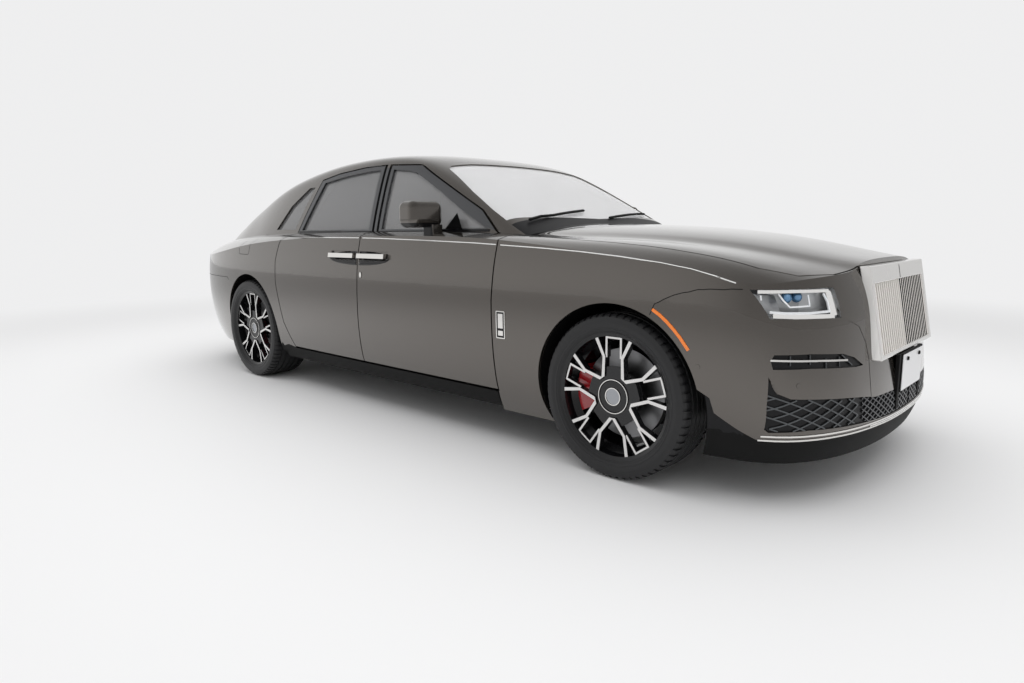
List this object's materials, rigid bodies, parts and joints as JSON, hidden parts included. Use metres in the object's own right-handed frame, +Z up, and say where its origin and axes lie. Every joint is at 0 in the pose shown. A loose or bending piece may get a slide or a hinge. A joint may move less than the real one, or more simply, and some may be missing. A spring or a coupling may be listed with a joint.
{
  "type": "four-door saloon car",
  "caption": "Long four-door saloon with an upright vane grille, rectangular lamps, rear-hinged back doors, hinged hood and boot lid, and steered front wheels.",
  "frame": {"origin": "bottom centre of the bounding box, on the ground between the wheels", "axes": "+X forwards, +Y to the car's left, +Z up"},
  "size_m": [5.5381, 2.148, 1.5751],
  "materials": {
    "paint": "gloss",
    "bright": "polished",
    "dark_trim": "gloss",
    "lamp_glass": "gloss",
    "tail_glass": "gloss",
    "screen_glass": "gloss",
    "side_glass": "gloss",
    "dark_glass": "gloss",
    "cabin_trim": "matte",
    "hide": "satin",
    "iron": "matte",
    "steel": "satin",
    "underbody": "matte",
    "liner": "matte",
    "brake_parts": "gloss",
    "tyre": "matte",
    "alloy": "gloss"
  },
  "bodies": {
    "body": {"floor_pan": "underbody", "body_sides": "paint", "roof_panel": "paint", "front_fenders": "paint", "front_bumper": "paint", "rear_bumper": "paint", "grille_frame": "bright", "grille_vanes": "bright", "lower_grilles": "dark_trim", "headlamps": "lamp_glass", "tail_lamps": "tail_glass", "windscreen": "screen_glass", "rear_window": "dark_glass", "quarter_windows": "dark_glass", "cowl_panel": "dark_trim", "dashboard": "cabin_trim", "seats": "hide", "engine_block": "iron", "exhaust": "steel", "front_subframe": "underbody", "rear_suspension": "underbody", "wheel_liners": "liner"},
    "front_door_left": {"front_door_left": "paint", "front_door_window_left": "side_glass", "door_mirror_left": "paint", "front_handle_left": "bright"},
    "rear_door_left": {"rear_door_left": "paint", "rear_door_window_left": "dark_glass", "rear_handle_left": "bright"},
    "front_door_right": {"front_door_right": "paint", "front_door_window_right": "side_glass", "door_mirror_right": "paint", "front_handle_right": "bright"},
    "rear_door_right": {"rear_door_right": "paint", "rear_door_window_right": "dark_glass", "rear_handle_right": "bright"},
    "hood": {"hood": "paint"},
    "boot_lid": {"boot_lid": "paint"},
    "front_knuckle_left": {"front_knuckle_left": "brake_parts"},
    "front_knuckle_right": {"front_knuckle_right": "brake_parts"},
    "wheel_front_left": {"front_left_tyre": "tyre", "front_left_wheel": "alloy"},
    "wheel_front_right": {"front_right_tyre": "tyre", "front_right_wheel": "alloy"},
    "wheel_rear_left": {"rear_left_tyre": "tyre", "rear_left_wheel": "alloy"},
    "wheel_rear_right": {"rear_right_tyre": "tyre", "rear_right_wheel": "alloy"},
    "steering_wheel": {"steering_wheel": "cabin_trim"}
  },
  "joints": [
    {"name": "front_door_left_hinge", "type": "hinge", "parent": "body", "child": "front_door_left", "pos_m": [1.169, 0.9885, 0.6], "axis": [0, 0, -1], "range_deg": [0, 70]},
    {"name": "rear_door_left_hinge", "type": "hinge", "parent": "body", "child": "rear_door_left", "pos_m": [-0.9956, 0.9885, 0.6], "axis": [0, 0, 1], "range_deg": [0, 83]},
    {"name": "front_door_right_hinge", "type": "hinge", "parent": "body", "child": "front_door_right", "pos_m": [1.169, -0.9885, 0.6], "axis": [0, 0, 1], "range_deg": [0, 70]},
    {"name": "rear_door_right_hinge", "type": "hinge", "parent": "body", "child": "rear_door_right", "pos_m": [-0.9956, -0.9885, 0.6], "axis": [0, 0, -1], "range_deg": [0, 83]},
    {"name": "hood_hinge", "type": "hinge", "parent": "body", "child": "hood", "pos_m": [1.1755, 0, 1.1135], "axis": [0, -1, 0], "range_deg": [0, 50]},
    {"name": "boot_lid_hinge", "type": "hinge", "parent": "body", "child": "boot_lid", "pos_m": [-2.3508, 0, 1.0645], "axis": [0, 1, 0], "range_deg": [0, 75]},
    {"name": "steer_left", "type": "hinge", "parent": "body", "child": "front_knuckle_left", "pos_m": [1.848, 0.7795, 0.366], "axis": [0, 0, 1], "range_deg": [-35, 35]},
    {"name": "steer_right", "type": "hinge", "parent": "body", "child": "front_knuckle_right", "pos_m": [1.848, -0.7795, 0.366], "axis": [0, 0, 1], "range_deg": [-35, 35]},
    {"name": "steering_wheel_turn", "type": "hinge", "parent": "body", "child": "steering_wheel", "pos_m": [0.64533, 0.37088, 0.9426], "axis": [-0.9135, 0, 0.4067], "range_deg": [-490, 490]},
    {"name": "wheel_front_left_spin", "type": "hinge", "parent": "front_knuckle_left", "child": "wheel_front_left", "pos_m": [1.848, 0.8415, 0.366], "axis": [0, 1, 0], "continuous": true},
    {"name": "wheel_front_right_spin", "type": "hinge", "parent": "front_knuckle_right", "child": "wheel_front_right", "pos_m": [1.848, -0.8415, 0.366], "axis": [0, 1, 0], "continuous": true},
    {"name": "wheel_rear_left_spin", "type": "hinge", "parent": "body", "child": "wheel_rear_left", "pos_m": [-1.447, 0.8265, 0.366], "axis": [0, 1, 0], "continuous": true},
    {"name": "wheel_rear_right_spin", "type": "hinge", "parent": "body", "child": "wheel_rear_right", "pos_m": [-1.447, -0.8265, 0.366], "axis": [0, 1, 0], "continuous": true}
  ],
  "couplings": [
    {"joint": "steer_right", "follows": "steer_left", "ratio": 1},
    {"joint": "steering_wheel_turn", "follows": "steer_left", "ratio": 14}
  ]
}
